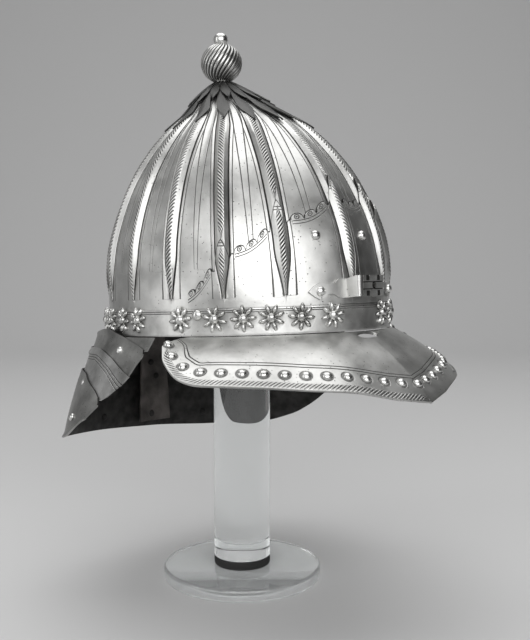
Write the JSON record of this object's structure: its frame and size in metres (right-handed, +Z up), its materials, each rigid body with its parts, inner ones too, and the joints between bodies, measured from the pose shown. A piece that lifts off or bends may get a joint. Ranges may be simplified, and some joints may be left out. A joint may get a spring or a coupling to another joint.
{
  "type": "lobster-tail pot helmet on display stand",
  "caption": "Ridged steel pot helmet with pointed peak, laminated neck guard and ball finial, held up by a clear round stand.",
  "frame": {"origin": "centre of the stand's flat underside", "axes": "+Z up, -Y towards the front of the helmet, +X towards the wearer's left; the helmet is tipped about 4 degrees forwards on its stand"},
  "size_m": [0.2662, 0.3019, 0.4213],
  "materials": {
    "bright_steel": "polished by hand, cold grey, with old pits and stains",
    "dark_steel": "dull grey with dark patina in the recesses",
    "dark_leather": "dry and dark",
    "clear_acrylic": "clear and polished",
    "black_pad": "dull black"
  },
  "bodies": {
    "root": {"band_rivet": "bright_steel", "base_band": "bright_steel", "bracket_rivet_left": "bright_steel", "bracket_rivet_right": "bright_steel", "brow_plate": "bright_steel", "brow_rivet_centre": "bright_steel", "brow_rivet_right": "bright_steel", "finial": "bright_steel", "leaf_rosette_lower": "dark_steel", "leaf_rosette_upper": "dark_steel", "nasal_bracket": "bright_steel", "neck_lame_1": "dark_steel", "neck_lame_2": "dark_steel", "neck_lame_3": "dark_steel", "neck_lame_4": "dark_steel", "neck_leather": "dark_leather", "peak": "dark_steel", "rosette_01": "bright_steel", "rosette_02": "bright_steel", "rosette_03": "bright_steel", "rosette_04": "bright_steel", "rosette_05": "bright_steel", "rosette_06": "bright_steel", "rosette_07": "bright_steel", "rosette_08": "bright_steel", "rosette_09": "bright_steel", "rosette_10": "bright_steel", "rosette_11": "bright_steel", "rosette_12": "bright_steel", "rosette_13": "bright_steel", "rosette_14": "bright_steel", "rosette_15": "bright_steel", "rosette_16": "bright_steel", "rosette_17": "bright_steel", "rosette_18": "bright_steel", "rosette_19": "bright_steel", "rosette_20": "bright_steel", "rosette_21": "bright_steel", "rosette_22": "bright_steel", "rosette_23": "bright_steel", "rosette_24": "bright_steel", "rosette_25": "bright_steel", "rosette_26": "bright_steel", "rosette_27": "bright_steel", "rosette_28": "bright_steel", "rosette_29": "bright_steel", "rosette_30": "bright_steel", "skull": "bright_steel", "stand_base": "clear_acrylic", "stand_column": "clear_acrylic", "stand_pad": "black_pad"}
  },
  "joints": []
}
